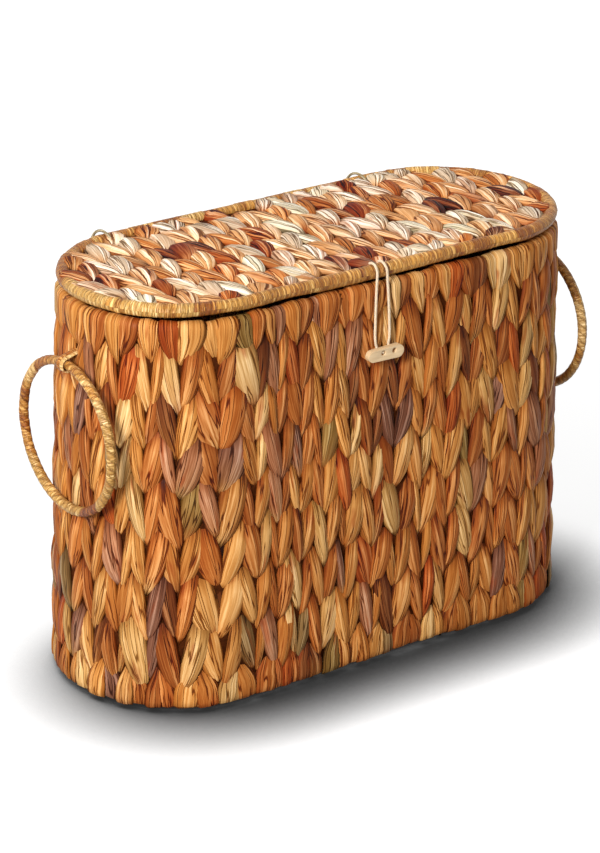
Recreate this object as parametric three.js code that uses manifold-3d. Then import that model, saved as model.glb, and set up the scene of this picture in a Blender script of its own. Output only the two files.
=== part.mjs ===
// Lidded storage basket: a tall stadium-shaped wall of twined strands on a wire frame,
// a hinged lid with a toggle on a cord, and a ring handle at each end.
// Millimetres, +Z up, +X along the length, the toggle on the -Y side, origin on the floor.
import * as THREE from 'three';
import { mergeVertices } from 'three/addons/utils/BufferGeometryUtils.js';
import Module from 'manifold-3d';

const wasm = await Module();
wasm.setup();

// Basket body
const rimLength = 410;
const rimWidth = 172;
const baseLength = 426;
const baseWidth = 186;
const wallHeight = 299;
const wallThickness = 11;
const columnWidth = 11.3;
const columnRelief = 1.6;
const footFold = 3;

// Wire frame inside the weave
const rowCount = 8;
const hoopRadius = 1.5;
const postRadius = 1.25;
const hoopSetOut = 1.3;
const bottomHoopHeight = 5.5;
const postFootHeight = 0.8;

// Woven base
const baseThickness = 10;
const baseRodCount = 3;
const baseRodSpacing = 45;
const baseRodRadius = 1.25;

// Lid
const lidRollRadius = 5;
const lidPanelThickness = 9.4;
const lidColumnWidth = 13;
const lidColumnRelief = 1.5;
const lidWireRadius = 1.4;
const lidRodRadius = 1.1;
const lidRodCount = 5;
const lidRodSpacing = 27.5;

// Cord rings that hinge the lid
const hingeTiePlaces = [-128, 103];
const hingeTieCordRadius = 1.1;
const hingeSetBack = 1.5;

// Toggle, the cord's tail in its left hole, and the cord legs that it hangs on
const toggleLength = 31.2;
const toggleWideEnd = 9.8;
const toggleNarrowEnd = 8.4;
const toggleThickness = 4.6;
const toggleEdgeRound = 1.5;
const togglePlace = { x: -5.8, z: 247 };
const toggleStandOff = 8.1;
const toggleHoleRadius = 1.7;
const toggleHolePlaces = [-8.4, 1.3];
const toggleHoleRise = 1.2;
const cordRadius = 1;
const cordTailRecess = 0.2;

// The cord legs' routes: out of the lid beside its rim roll, over the roll, down the front
// and forward to the toggle's holes
const leftCordRoute = [
  [-7.4, -77.3, 309.6], [-7.4, -79.0, 310.4], [-7.4, -81.0, 310.75], [-7.4, -83.2, 310.4],
  [-7.5, -85.1, 309.2], [-7.6, -86.6, 307.5], [-7.7, -87.35, 305.4], [-7.8, -87.5, 303],
  [-8.1, -87.6, 298], [-8.6, -87.8, 290], [-9.0, -88.1, 280], [-9.3, -88.3, 270],
  [-9.5, -88.5, 260], [-9.3, -88.65, 255], [-8.9, -88.8, 252.2], [-8.6, -89.25, 250.2],
  [-8.4, -90.7, 248.75], [-8.4, -92.7, 248.2],
];
const rightCordRoute = [
  [0.5, -77.3, 309.6], [0.5, -79.0, 310.4], [0.5, -81.0, 310.75], [0.5, -83.2, 310.4],
  [0.6, -85.1, 309.2], [0.8, -86.6, 307.5], [1.0, -87.35, 305.4], [1.1, -87.5, 303],
  [1.4, -87.6, 298], [2.0, -87.8, 290], [2.6, -88.1, 280], [3.1, -88.3, 270],
  [3.4, -88.5, 260], [3.2, -88.65, 255], [2.6, -88.8, 252.2], [2.0, -89.25, 250.2],
  [1.5, -90.7, 248.75], [1.3, -92.7, 248.2],
];

// Ring handles, measured along the middle of the tube, and their strip ties
const ringWidth = 115;
const ringHeight = 109.5;
const ringTubeRadius = 3.8;
const ringTopDrop = 44.7;
const tieStripThickness = 1.6;
const tieStripWidth = 8;

// Clearances
const seatGap = 0.3;
const wireGap = 0.3;
const stripGap = 0.3;
const swingGap = 0.5;
const cordGap = 0.45;
const hingeChannelGap = 0.9;

// Facets
const arcSteps = 8;
const pointsPerColumn = 3;
const smoothArcSteps = 12;
const ringSteps = 28;
const hingeRingSteps = 20;
const cordSteps = 20;
const tailSteps = 4;

// Worked out from the sizes above
const foldRadius = wallThickness / 2;
const topHoopHeight = wallHeight - foldRadius;
const rowPitch = (topHoopHeight - bottomHoopHeight) / rowCount;
const rimPlan = { straight: (rimLength - rimWidth) / 2, radius: rimWidth / 2 };
const basePlan = { straight: (baseLength - baseWidth) / 2, radius: baseWidth / 2 };
const rimPerimeter = 4 * rimPlan.straight + 2 * Math.PI * rimPlan.radius;
const columnCount = 2 * Math.round(rimPerimeter / columnWidth / 2);
const lidBottom = wallHeight + seatGap;
const lidMid = lidBottom + lidRollRadius;
const rollPlan = { straight: rimPlan.straight, radius: rimPlan.radius - lidRollRadius };
const hingeY = rimPlan.radius - foldRadius + hingeSetBack;
const hingeZ = topHoopHeight;
const ringTop = wallHeight - ringTopDrop;
const toggleFront = planAt(togglePlace.z).radius + toggleStandOff;
const toggleCentre = { ...togglePlace, y: -toggleFront };
const toggleHoleHeight = togglePlace.z + toggleHoleRise;

// Colours of the dry strands, wire, cord and bone
const finish = (color, roughness, metalness = 0) => (
  new THREE.MeshStandardMaterial({ color, roughness, metalness }));
const wallStrands = finish(0xc58a4e, 0.6);
const lidStrands = finish(0xe2bf8c, 0.6);
const goldStrip = finish(0xcc9850, 0.5);
const ringStrip = finish(0xd8ae6b, 0.55);
const steelWire = finish(0x4a4643, 0.45, 0.9);
const hingeCord = finish(0xa9987a, 0.9);
const creamCord = finish(0xe8cba8, 0.9);
const paleBone = finish(0xd8be94, 0.45);

// The wall's plan at a height: it widens evenly from the rim down to the foot
function planAt(height) {
  const down = (wallHeight - height) / wallHeight;
  return {
    straight: THREE.MathUtils.lerp(rimPlan.straight, basePlan.straight, down),
    radius: THREE.MathUtils.lerp(rimPlan.radius, basePlan.radius, down),
  };
}

// A point of a stadium outline with its outward normal. The share runs from the front
// centre towards +X and is measured on the rim, so that columns stay upright on the taper.
function outlinePoint(share, plan) {
  const half = rimPlan.straight;
  const arc = Math.PI * rimPlan.radius;
  const along = THREE.MathUtils.euclideanModulo(share, 1) * rimPerimeter;
  const stretch = plan.straight / half;
  if (along < half) return { x: along * stretch, y: -plan.radius, nx: 0, ny: -1 };
  if (along < half + arc) return endPoint(1, (along - half) / arc, plan);
  if (along < 3 * half + arc) {
    return { x: (2 * half + arc - along) * stretch, y: plan.radius, nx: 0, ny: 1 };
  }
  if (along < 3 * half + 2 * arc) return endPoint(-1, 1 - (along - 3 * half - arc) / arc, plan);
  return { x: (along - rimPerimeter) * stretch, y: -plan.radius, nx: 0, ny: -1 };
}

// A point of one rounded end: side is 1 at +X and -1 at -X, turned runs from front to back
function endPoint(side, turned, plan) {
  const angle = Math.PI * (turned - 0.5);
  const nx = side * Math.cos(angle);
  const ny = Math.sin(angle);
  return { x: side * plan.straight + nx * plan.radius, y: ny * plan.radius, nx, ny };
}

// The shares that a bent hoop needs: both ends of each straight, and steps round the arcs
function hoopShares(steps = arcSteps) {
  const half = rimPlan.straight / rimPerimeter;
  const arc = Math.PI * rimPlan.radius / rimPerimeter;
  const turns = Array.from({ length: steps + 1 }, (_, i) => arc * i / steps);
  return [...turns.map((turn) => half + turn), ...turns.map((turn) => half + 0.5 + turn)];
}

function bufferOf(positions, indices) {
  const geometry = new THREE.BufferGeometry();
  geometry.setAttribute('position', new THREE.Float32BufferAttribute(positions, 3));
  geometry.setIndex(indices);
  return geometry;
}

// Sweeps a closed section round a plan. The section's points are { out, z }, measured
// outward from the plan, and run anticlockwise with out to the right.
function sweepRound(plan, section, shares = hoopShares()) {
  const positions = [];
  const indices = [];
  const sides = section.length;
  shares.forEach((share, i) => {
    const p = outlinePoint(share, plan);
    const next = (i + 1) % shares.length;
    section.forEach(({ out, z }, k) => {
      positions.push(p.x + p.nx * out, p.y + p.ny * out, z);
      const above = (k + 1) % sides;
      indices.push(i * sides + k, next * sides + k, next * sides + above);
      indices.push(i * sides + k, next * sides + above, i * sides + above);
    });
  });
  return bufferOf(positions, indices);
}

// Lofts rings of points from the lowest to the highest and closes both ends
function loftRings(rings) {
  const count = rings[0].length;
  const positions = rings.flat().flatMap((p) => [p.x, p.y, p.z]);
  const indices = [];
  for (let r = 0; r + 1 < rings.length; r += 1) {
    for (let i = 0; i < count; i += 1) {
      const a = r * count + i;
      const b = r * count + (i + 1) % count;
      indices.push(a, b, b + count, a, b + count, a + count);
    }
  }
  const last = (rings.length - 1) * count;
  const flat = rings[0].map((p) => new THREE.Vector2(p.x, p.y));
  for (const [a, b, c] of THREE.ShapeUtils.triangulateShape(flat, [])) {
    indices.push(c, b, a, last + a, last + b, last + c);
  }
  return bufferOf(positions, indices);
}

// One ring of a loft: the plan at a height, drawn in by an inset and a relief
function planRing(shares, height, inset, reliefAt = () => 0) {
  return shares.map((share, i) => {
    const p = outlinePoint(share, planAt(height));
    const out = -inset - reliefAt(i);
    return { x: p.x + p.nx * out, y: p.y + p.ny * out, z: height };
  });
}

function roundSection(out, z, radius, sides = 6) {
  return Array.from({ length: sides }, (_, k) => {
    const angle = 2 * Math.PI * (k + 0.5) / sides;
    return { out: out + radius * Math.cos(angle), z: z + radius * Math.sin(angle) };
  });
}

function toManifold(geometry) {
  const bare = geometry.clone();
  bare.deleteAttribute('normal');
  bare.deleteAttribute('uv');
  const merged = mergeVertices(bare);
  return new wasm.Manifold(new wasm.Mesh({
    numProp: 3,
    vertProperties: new Float32Array(merged.attributes.position.array),
    triVerts: new Uint32Array(merged.index.array),
  }));
}

function fromManifold(solid) {
  const mesh = solid.getMesh();
  return bufferOf(Array.from(mesh.vertProperties), Array.from(mesh.triVerts));
}

// Cuts every tool out of a geometry
function cut(geometry, tools) {
  return fromManifold(tools.reduce(
    (solid, tool) => solid.subtract(toManifold(tool)), toManifold(geometry)));
}

// A straight round rod between two points
function rodBetween(start, end, radius, sides = 6) {
  const span = new THREE.Vector3().subVectors(end, start);
  const middle = new THREE.Vector3().addVectors(start, end).multiplyScalar(0.5);
  const turn = new THREE.Quaternion().setFromUnitVectors(
    new THREE.Vector3(0, 1, 0), span.clone().normalize());
  return new THREE.CylinderGeometry(radius, radius, span.length(), sides)
    .applyQuaternion(turn).translate(middle.x, middle.y, middle.z);
}

// A round cord along a smooth route
function cordAlong(route, steps) {
  const points = route.map(([x, y, z]) => new THREE.Vector3(x, y, z));
  const section = new THREE.Shape(roundSection(0, 0, cordRadius, 8)
    .map(({ out, z }) => new THREE.Vector2(out, z)));
  return new THREE.ExtrudeGeometry(section, {
    steps, extrudePath: new THREE.CatmullRomCurve3(points),
  });
}

// Wire frame of the body: level hoops, with posts just inside them. The weave leaves a
// square channel round each hoop and a round one at each post.
const hoopHeights = Array.from({ length: rowCount + 1 }, (_, i) => topHoopHeight - i * rowPitch);
const hoopOut = hoopSetOut - foldRadius;
const postOut = hoopOut - hoopRadius - postRadius - wireGap;

function bodyHoop(height) {
  return sweepRound(planAt(height), roundSection(hoopOut, height, hoopRadius));
}

function hoopChannel(height) {
  const corner = Math.SQRT2 * (hoopRadius + wireGap);
  return sweepRound(planAt(height), roundSection(hoopOut, height, corner, 4));
}

// Posts stand twice on each long side and twice in each rounded end
function postShares() {
  const half = rimPlan.straight / rimPerimeter;
  const arc = Math.PI * rimPlan.radius / rimPerimeter;
  const halfTurn = [half / 2, half + arc / 4, half + arc * 3 / 4, 0.5 - half / 2];
  return [...halfTurn, ...halfTurn.map((share) => share + 0.5)];
}

function bodyPost(share, grow = 0) {
  const foot = grow > 0 ? -footFold : postFootHeight;
  const [low, high] = [foot, topHoopHeight].map((height) => {
    const p = outlinePoint(share, planAt(height));
    return new THREE.Vector3(p.x + p.nx * postOut, p.y + p.ny * postOut, height);
  });
  return rodBetween(low, high, postRadius + grow);
}

// Rods along X that end at the middle of a hoop, side by side across the width
function crossRods(plan, out, height, count, spacing, radius) {
  return Array.from({ length: count }, (_, i) => {
    const y = (i - (count - 1) / 2) * spacing;
    const reach = hoopReach(plan, out, y);
    return rodBetween(new THREE.Vector3(-reach, y, height),
      new THREE.Vector3(reach, y, height), radius);
  });
}

// How far along X the faceted middle line of a hoop lies at a distance y off centre
function hoopReach(plan, out, y) {
  const corners = hoopShares().slice(0, arcSteps + 1).map((share) => {
    const p = outlinePoint(share, plan);
    return { x: p.x + p.nx * out, y: p.y + p.ny * out };
  });
  const above = corners.findIndex((corner) => corner.y > y);
  const [a, b] = [corners[above - 1], corners[above]];
  return THREE.MathUtils.mapLinear(y, a.y, b.y, a.x, b.x);
}

// Cord rings centred on the hinge axis, so that the lid turns through them freely
const rollReach = Math.hypot(hingeY - rollPlan.radius, lidMid - hingeZ) + lidRollRadius;
const hingeRingRadius = rollReach + cordGap + hingeTieCordRadius;

function hingeRing(x, grow = 0) {
  const steps = grow > 0 ? 2 * hingeRingSteps : hingeRingSteps;
  return new THREE.TorusGeometry(hingeRingRadius, hingeTieCordRadius + grow, 6, steps)
    .rotateY(Math.PI / 2).translate(x, hingeY, hingeZ);
}

// A ring handle hangs flat against the end wall, from the top of its own tube
const wallReaches = [ringTop, ringTop - ringHeight].map((height) => (
  planAt(height).straight + planAt(height).radius));
const ringOut = Math.max(...wallReaches) + ringTubeRadius + swingGap;

class HangingRing extends THREE.Curve {
  getPoint(t, target = new THREE.Vector3()) {
    const angle = 2 * Math.PI * t;
    return target.set(ringOut, ringWidth / 2 * Math.cos(angle),
      ringTop + ringHeight / 2 * (Math.sin(angle) - 1));
  }

  getPointAt(u, target) {
    return this.getPoint(u, target);
  }
}

function handleRing(side) {
  return new THREE.TubeGeometry(new HangingRing(), ringSteps, ringTubeRadius, 8, true)
    .rotateZ(side > 0 ? 0 : Math.PI);
}

// A round-ended outline about two points of the X, Z plane
function roundLoop(a, b, radius, Kind = THREE.Shape) {
  const slope = Math.atan2(b.z - a.z, b.x - a.x);
  const outline = new Kind();
  outline.absarc(b.x, b.z, radius, slope - Math.PI / 2, slope + Math.PI / 2, false);
  outline.absarc(a.x, a.z, radius, slope + Math.PI / 2, slope + Math.PI * 3 / 2, false);
  return outline;
}

// The strip that carries a ring handle: a flat loop through the wall, round the first
// row wire and the ring's top
function handleTie(side, grow = 0) {
  const rowHeight = topHoopHeight - rowPitch;
  const rowPlan = planAt(rowHeight);
  const atWire = { x: rowPlan.straight + rowPlan.radius + hoopOut, z: rowHeight };
  const atRing = { x: ringOut, z: ringTop };
  const bore = ringTubeRadius + swingGap;
  const strip = roundLoop(atWire, atRing, bore + tieStripThickness + grow);
  strip.holes.push(roundLoop(atWire, atRing, bore - grow, THREE.Path));
  const width = tieStripWidth + 2 * grow;
  return new THREE.ExtrudeGeometry(strip, { depth: width, bevelEnabled: false, curveSegments: 6 })
    .translate(0, 0, -width / 2).rotateX(Math.PI / 2).rotateZ(side > 0 ? 0 : Math.PI);
}

// The woven wall: fluted rope columns outside, folded over the rim, with its bore, the
// wires' channels, and the slots of the hinge rings and handle ties
function wovenWall() {
  const shares = Array.from({ length: columnCount * pointsPerColumn },
    (_, i) => i / (columnCount * pointsPerColumn));
  const relief = (i) => (i % pointsPerColumn === 0 ? columnRelief : 0);
  const slant = foldRadius * (1 - Math.SQRT1_2);
  const outside = loftRings([
    planRing(shares, 0, footFold * 0.6),
    planRing(shares, footFold, 0, relief),
    planRing(shares, topHoopHeight, 0, relief),
    planRing(shares, wallHeight - slant, slant, (i) => relief(i) / 2),
    planRing(shares, wallHeight, foldRadius - seatGap),
  ]);
  const boreShares = hoopShares(smoothArcSteps);
  const bore = loftRings([
    planRing(boreShares, -footFold, wallThickness),
    planRing(boreShares, topHoopHeight, wallThickness),
    planRing(boreShares, wallHeight - slant, wallThickness - slant),
    planRing(boreShares, wallHeight, foldRadius + seatGap),
    planRing(boreShares, wallHeight + foldRadius, foldRadius + seatGap),
  ]);
  return cut(outside, [
    bore,
    ...hoopHeights.map(hoopChannel),
    ...postShares().map((share) => bodyPost(share, wireGap)),
    ...baseRods(wireGap),
    ...hingeTiePlaces.map((x) => hingeRing(x, hingeChannelGap)),
    handleTie(-1, stripGap),
    handleTie(1, stripGap),
  ]);
}

function baseRods(grow = 0) {
  return crossRods(planAt(bottomHoopHeight), hoopOut, bottomHoopHeight,
    baseRodCount, baseRodSpacing, baseRodRadius + grow);
}

// The woven base fits the foot of the wall, and its rods run through it
function basePanel() {
  const shares = hoopShares(smoothArcSteps);
  const inset = wallThickness + seatGap;
  const slab = loftRings([planRing(shares, 0, inset), planRing(shares, baseThickness, inset)]);
  return cut(slab, baseRods(wireGap));
}

// The lid's frame: a hoop in the middle of the rim roll, and rods along the length
function lidHoop(grow = 0) {
  return sweepRound(rollPlan, roundSection(0, lidMid, lidWireRadius + grow));
}

function lidRods(grow = 0) {
  return crossRods(rollPlan, 0, lidMid, lidRodCount, lidRodSpacing, lidRodRadius + grow);
}

function lidRimBinding() {
  const shares = hoopShares(smoothArcSteps);
  const roll = sweepRound(rollPlan, roundSection(0, lidMid, lidRollRadius, 8), shares);
  return cut(roll, [lidHoop(wireGap), ...lidRods(wireGap)]);
}

// The lid's weave: rope columns from front to back, trimmed to the plan inside the roll
function lidPanel() {
  const columns = Math.ceil(rimLength / lidColumnWidth);
  const halfSpan = columns * lidColumnWidth / 2;
  const half = lidPanelThickness / 2;
  const crown = [[0, lidColumnRelief], [0.28, 0], [0.72, 0]];
  const top = [];
  for (let i = 0; i < columns; i += 1) {
    for (const [share, relief] of crown) {
      top.push(new THREE.Vector2((i + share) * lidColumnWidth - halfSpan, half - relief));
    }
  }
  top.push(new THREE.Vector2(halfSpan, half - lidColumnRelief));
  const under = top.map((p) => new THREE.Vector2(p.x, -p.y)).reverse();
  const corrugated = new THREE.ExtrudeGeometry(new THREE.Shape([...under, ...top].reverse()), {
    depth: rimWidth, bevelEnabled: false,
  }).rotateX(Math.PI / 2).translate(0, rimWidth / 2, lidMid);
  const shares = hoopShares(smoothArcSteps);
  const inset = 2 * lidRollRadius + seatGap;
  const plan = { straight: rimPlan.straight, radius: rimPlan.radius - inset };
  const outline = [lidMid - lidPanelThickness, lidMid + lidPanelThickness].map((height) => (
    shares.map((share) => ({ ...outlinePoint(share, plan), z: height }))));
  const trimmed = fromManifold(toManifold(corrugated).intersect(toManifold(loftRings(outline))));
  return cut(trimmed, [
    ...lidRods(wireGap),
    ...hingeTiePlaces.map((x) => hingeRing(x, hingeChannelGap)),
    ...[leftCordRoute, rightCordRoute].map((route) => cordChannel(route[0][0])),
  ]);
}

// The gap beside the roll where a cord leg comes out, and dips further as the toggle swings
function cordChannel(x) {
  const radius = lidRollRadius + cordGap + cordRadius;
  return new THREE.TorusGeometry(radius, cordRadius + swingGap, 8, 24)
    .rotateY(Math.PI / 2).translate(x, -rollPlan.radius, lidMid);
}

// The toggle: a flat peg with round ends, one a little wider, and two holes above its middle
function togglePeg() {
  const wide = toggleWideEnd / 2 - toggleEdgeRound;
  const narrow = toggleNarrowEnd / 2 - toggleEdgeRound;
  const reach = toggleLength / 2 - toggleEdgeRound;
  const outline = new THREE.Shape();
  outline.absarc(reach - wide, 0, wide, -Math.PI / 2, Math.PI / 2, false);
  outline.absarc(narrow - reach, 0, narrow, Math.PI / 2, Math.PI * 3 / 2, false);
  const peg = new THREE.ExtrudeGeometry(outline, {
    depth: toggleThickness - 2 * toggleEdgeRound,
    bevelThickness: toggleEdgeRound,
    bevelSize: toggleEdgeRound,
    bevelSegments: 2,
    curveSegments: 6,
  });
  peg.translate(0, 0, toggleEdgeRound - toggleThickness / 2).rotateX(Math.PI / 2)
    .translate(toggleCentre.x, toggleCentre.y, toggleCentre.z);
  return cut(peg, toggleHolePlaces.map((x) => rodBetween(
    new THREE.Vector3(x, toggleCentre.y - toggleThickness, toggleHoleHeight),
    new THREE.Vector3(x, toggleCentre.y + toggleThickness, toggleHoleHeight),
    toggleHoleRadius, 12)));
}

// The cord's tail comes through the left hole and ends just short of the toggle's face
function toggleStitch() {
  const [left] = toggleHolePlaces;
  const back = toggleCentre.y + toggleThickness / 2;
  const end = toggleCentre.y - toggleThickness / 2 + cordTailRecess;
  return cordAlong([back, toggleCentre.y, end].map((y) => [left, y, toggleHoleHeight]), tailSteps);
}

// Ends of the wires stop short of the hoop that they are welded to
function trimmedRods(rods, hoop) {
  return rods.map((rod) => cut(rod, [hoop]));
}

const basket = new THREE.Group();

function add(parent, name, geometry, material) {
  const mesh = new THREE.Mesh(geometry, material);
  mesh.name = name;
  parent.add(mesh);
}

add(basket, 'woven_wall', wovenWall(), wallStrands);
add(basket, 'base_panel', basePanel(), wallStrands);
hoopHeights.forEach((height, i) => {
  const inner = i === rowCount ? 'bottom_rim_wire' : `row_wire_${i}`;
  add(basket, i === 0 ? 'top_rim_wire' : inner, bodyHoop(height), steelWire);
});
postShares().forEach((share, i) => add(basket, `post_${i + 1}`, bodyPost(share), steelWire));
trimmedRods(baseRods(), hoopChannel(bottomHoopHeight)).forEach((rod, i) => (
  add(basket, `base_rod_${i + 1}`, rod, steelWire)));

const lid = new THREE.Group();
basket.add(lid);
add(lid, 'lid_panel', lidPanel(), lidStrands);
add(lid, 'lid_rim_binding', lidRimBinding(), goldStrip);
add(lid, 'lid_rim_wire', lidHoop(), steelWire);
trimmedRods(lidRods(), lidHoop(wireGap)).forEach((rod, i) => (
  add(lid, `lid_rod_${i + 1}`, rod, steelWire)));

const pendant = new THREE.Group();
lid.add(pendant);
add(pendant, 'toggle', togglePeg(), paleBone);
add(pendant, 'toggle_stitch', toggleStitch(), creamCord);
add(pendant, 'closure_cord_left', cordAlong(leftCordRoute, cordSteps), creamCord);
add(pendant, 'closure_cord_right', cordAlong(rightCordRoute, cordSteps), creamCord);

[['left', -1], ['right', 1]].forEach(([name, side], i) => {
  add(basket, `hinge_tie_${name}`, hingeRing(hingeTiePlaces[i]), hingeCord);
  add(basket, `handle_tie_${name}`, handleTie(side), ringStrip);
  add(basket, `handle_ring_${name}`, handleRing(side), ringStrip);
});

export default basket;
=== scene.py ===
import math
import random

import bmesh
import bpy
from mathutils import Matrix, Vector


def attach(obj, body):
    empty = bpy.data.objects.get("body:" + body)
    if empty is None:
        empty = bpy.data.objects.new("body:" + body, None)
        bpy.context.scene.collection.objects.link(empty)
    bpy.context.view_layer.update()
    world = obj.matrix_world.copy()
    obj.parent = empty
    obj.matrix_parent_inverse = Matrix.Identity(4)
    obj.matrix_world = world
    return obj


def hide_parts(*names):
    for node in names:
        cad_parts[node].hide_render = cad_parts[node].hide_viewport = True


# Lidded storage basket of twined water hyacinth on a wire frame. Metres, +Z up, front at -Y.
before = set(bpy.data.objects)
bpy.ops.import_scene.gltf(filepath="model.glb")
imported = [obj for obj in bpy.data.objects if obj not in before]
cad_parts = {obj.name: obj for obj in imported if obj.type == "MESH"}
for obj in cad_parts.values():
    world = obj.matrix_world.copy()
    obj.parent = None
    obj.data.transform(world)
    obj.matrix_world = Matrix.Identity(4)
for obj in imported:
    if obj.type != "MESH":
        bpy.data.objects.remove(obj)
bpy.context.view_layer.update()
chance = random.Random(29)
mm = 0.001

# Camera: turned and tipped as in the photograph, which is 600 x 853
cameraPlace = {
    "yaw": -36.3,                    # degrees, from the front towards the left end
    "pitch": 22.9,
    "roll": 0.69,
    "distance": 2.505,
    "target": (-0.0098, 0, 0.158),
    "lens": 142.44,                  # mm
    "sensor": 36,                    # mm, along the photograph's long side
}


def makeCamera():
    yaw, pitch, roll = (math.radians(cameraPlace[key]) for key in ("yaw", "pitch", "roll"))
    level = math.cos(pitch)
    back = Vector((math.sin(yaw) * level, -math.cos(yaw) * level, math.sin(pitch)))
    levelRight = (-back).cross(Vector((0, 0, 1))).normalized()
    levelUp = levelRight.cross(-back)
    right = levelRight * math.cos(roll) + levelUp * math.sin(roll)
    up = levelUp * math.cos(roll) - levelRight * math.sin(roll)
    data = bpy.data.cameras.new("camera")
    data.lens = cameraPlace["lens"]
    data.sensor_width = cameraPlace["sensor"]
    camera = bpy.data.objects.new("camera", data)
    bpy.context.scene.collection.objects.link(camera)
    turned = Matrix((right, up, back)).transposed().to_4x4()
    place = Vector(cameraPlace["target"]) + back * cameraPlace["distance"]
    camera.matrix_world = Matrix.Translation(place) @ turned
    bpy.context.scene.camera = camera


makeCamera()
print("camera placed")


# Colours are written as sRGB hex and turned to linear here
def linear(hexColour):
    parts = [int(hexColour[i:i + 2], 16) / 255 for i in (1, 3, 5)]
    return [p / 12.92 if p <= 0.04045 else ((p + 0.055) / 1.055) ** 2.4 for p in parts]


def addNode(tree, kind, settings=None, inputs=None):
    node = tree.nodes.new(kind)
    for name, value in (settings or {}).items():
        setattr(node, name, value)
    for name, value in (inputs or {}).items():
        if isinstance(value, bpy.types.NodeSocket):
            tree.links.new(value, node.inputs[name])
        else:
            node.inputs[name].default_value = value
    return node


# Adds a chain of nodes, whose inputs are numbers or earlier values by name, in the node's order
def addChain(tree, values, rows):
    for made, (kind, settings), inputs in rows:
        taken = [values.get(value, value) for value in inputs]
        values[made] = addNode(tree, kind, settings, dict(enumerate(taken))).outputs[0]


add, subtract, multiply, absolute, power = (
    ("ShaderNodeMath", {"operation": name})
    for name in ("ADD", "SUBTRACT", "MULTIPLY", "ABSOLUTE", "POWER"))
straightRange = ("ShaderNodeMapRange", {"interpolation_type": "LINEAR"})
softRange = ("ShaderNodeMapRange", {"interpolation_type": "SMOOTHSTEP"})


def newMaterial(name):
    material = bpy.data.materials.new(name)
    material.use_nodes = True
    material.node_tree.nodes.clear()
    return material, material.node_tree


def finishMaterial(tree, shader):
    addNode(tree, "ShaderNodeOutputMaterial", None, {"Surface": shader.outputs[0]})


# Dried water hyacinth leaf, split, folded and twined: matt fibres with a slight wax gloss.
# strandPlace holds a point's distance across and along its strand, and the strand's number.
# strandShade holds painted shade: darker at a strand's tucked ends and towards its edges.
def driedLeaf(name, look):
    material, tree = newMaterial(name)
    place = addNode(tree, "ShaderNodeAttribute", {"attribute_name": "strandPlace"}).outputs["Vector"]
    tint = addNode(tree, "ShaderNodeAttribute", {"attribute_name": "strandColour"}).outputs["Color"]
    shade = addNode(tree, "ShaderNodeAttribute", {"attribute_name": "strandShade"}).outputs["Fac"]
    values = {"shade": shade}
    for grain, detail in (("fibre", 3.0), ("crease", 1.0), ("stain", 2.0)):
        across, along = look[f"{grain}Spacing"] * mm, look[f"{grain}Length"] * mm
        stretched = addNode(tree, "ShaderNodeMapping", None, {
            "Vector": place, "Scale": (1 / across, 1 / along, look["strandApart"])})
        values[grain] = addNode(tree, "ShaderNodeTexNoise", None, {
            "Vector": stretched.outputs[0], "Scale": 1.0, "Detail": detail}).outputs[0]

    # thin folds run where the broad noise crosses its middle, and draw together at the tips
    middle, shadeRedden = look["noiseMiddle"], look["shadeRedden"]
    addChain(tree, values, (
        ("fromMiddle", subtract, ("crease", 0.5)),
        ("offMiddle", absolute, ("fromMiddle",)),
        ("fold", softRange, ("offMiddle", 0.0, look["foldWidth"], 0.0, 1.0)),
        ("fibreTone", softRange, ("fibre", *middle, *look["fibreTone"])),
        # crease and fold tones darken the colour where the bump dips: partly dark fibre lines,
        # partly painted shade in the creases
        ("creaseTone", softRange, ("crease", *middle, *look["creaseTone"])),
        ("foldShade", softRange, ("fold", 0.0, 1.0, look["foldDark"], 1.0)),
        ("stainShare", softRange, ("stain", *look["stainRange"], 0.0, look["stainAmount"])),
        ("roughness", softRange, ("fibre", *middle, *look["roughness"])),
        ("creased", multiply, ("creaseTone", "foldShade")),
        ("lightness", multiply, ("fibreTone", "creased")),
        ("grainAndPaintedShade", multiply, ("lightness", "shade")),
        ("lessRed", multiply, ("grainAndPaintedShade", shadeRedden)),
        ("gamma", subtract, (1 + shadeRedden, "lessRed")),
        ("fibreHeight", multiply, ("fibre", look["fibreRise"])),
        ("creaseHeight", multiply, ("crease", look["creaseRise"])),
        ("foldHeight", multiply, ("fold", look["foldRise"])),
        ("broadHeight", add, ("creaseHeight", "fibreHeight")),
        ("height", add, ("foldHeight", "broadHeight"))))
    stained = addNode(tree, "ShaderNodeMix", {"data_type": "RGBA"}, {
        0: values["stainShare"], 6: tint, 7: (*linear(look["stainColour"]), 1)}).outputs[2]
    # painted shade: folds, edges and tucked ends are darkened and turned redder, standing in for
    # shade there and for light that has passed through leaf
    deepened = addNode(tree, "ShaderNodeGamma", None, {
        "Color": stained, "Gamma": values["gamma"]}).outputs[0]
    shaded = addNode(tree, "ShaderNodeVectorMath", {"operation": "SCALE"}, {
        0: deepened, "Scale": values["grainAndPaintedShade"]}).outputs[0]
    relief = addNode(tree, "ShaderNodeBump", None, {
        "Height": values["height"], "Strength": look["bump"], "Distance": look["bumpDepth"] * mm})
    finishMaterial(tree, addNode(tree, "ShaderNodeBsdfPrincipled", None, {
        "Base Color": shaded, "Roughness": values["roughness"], "IOR": look["ior"],
        "Specular IOR Level": look["gloss"], "Normal": relief.outputs[0]}))
    return material


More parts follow.
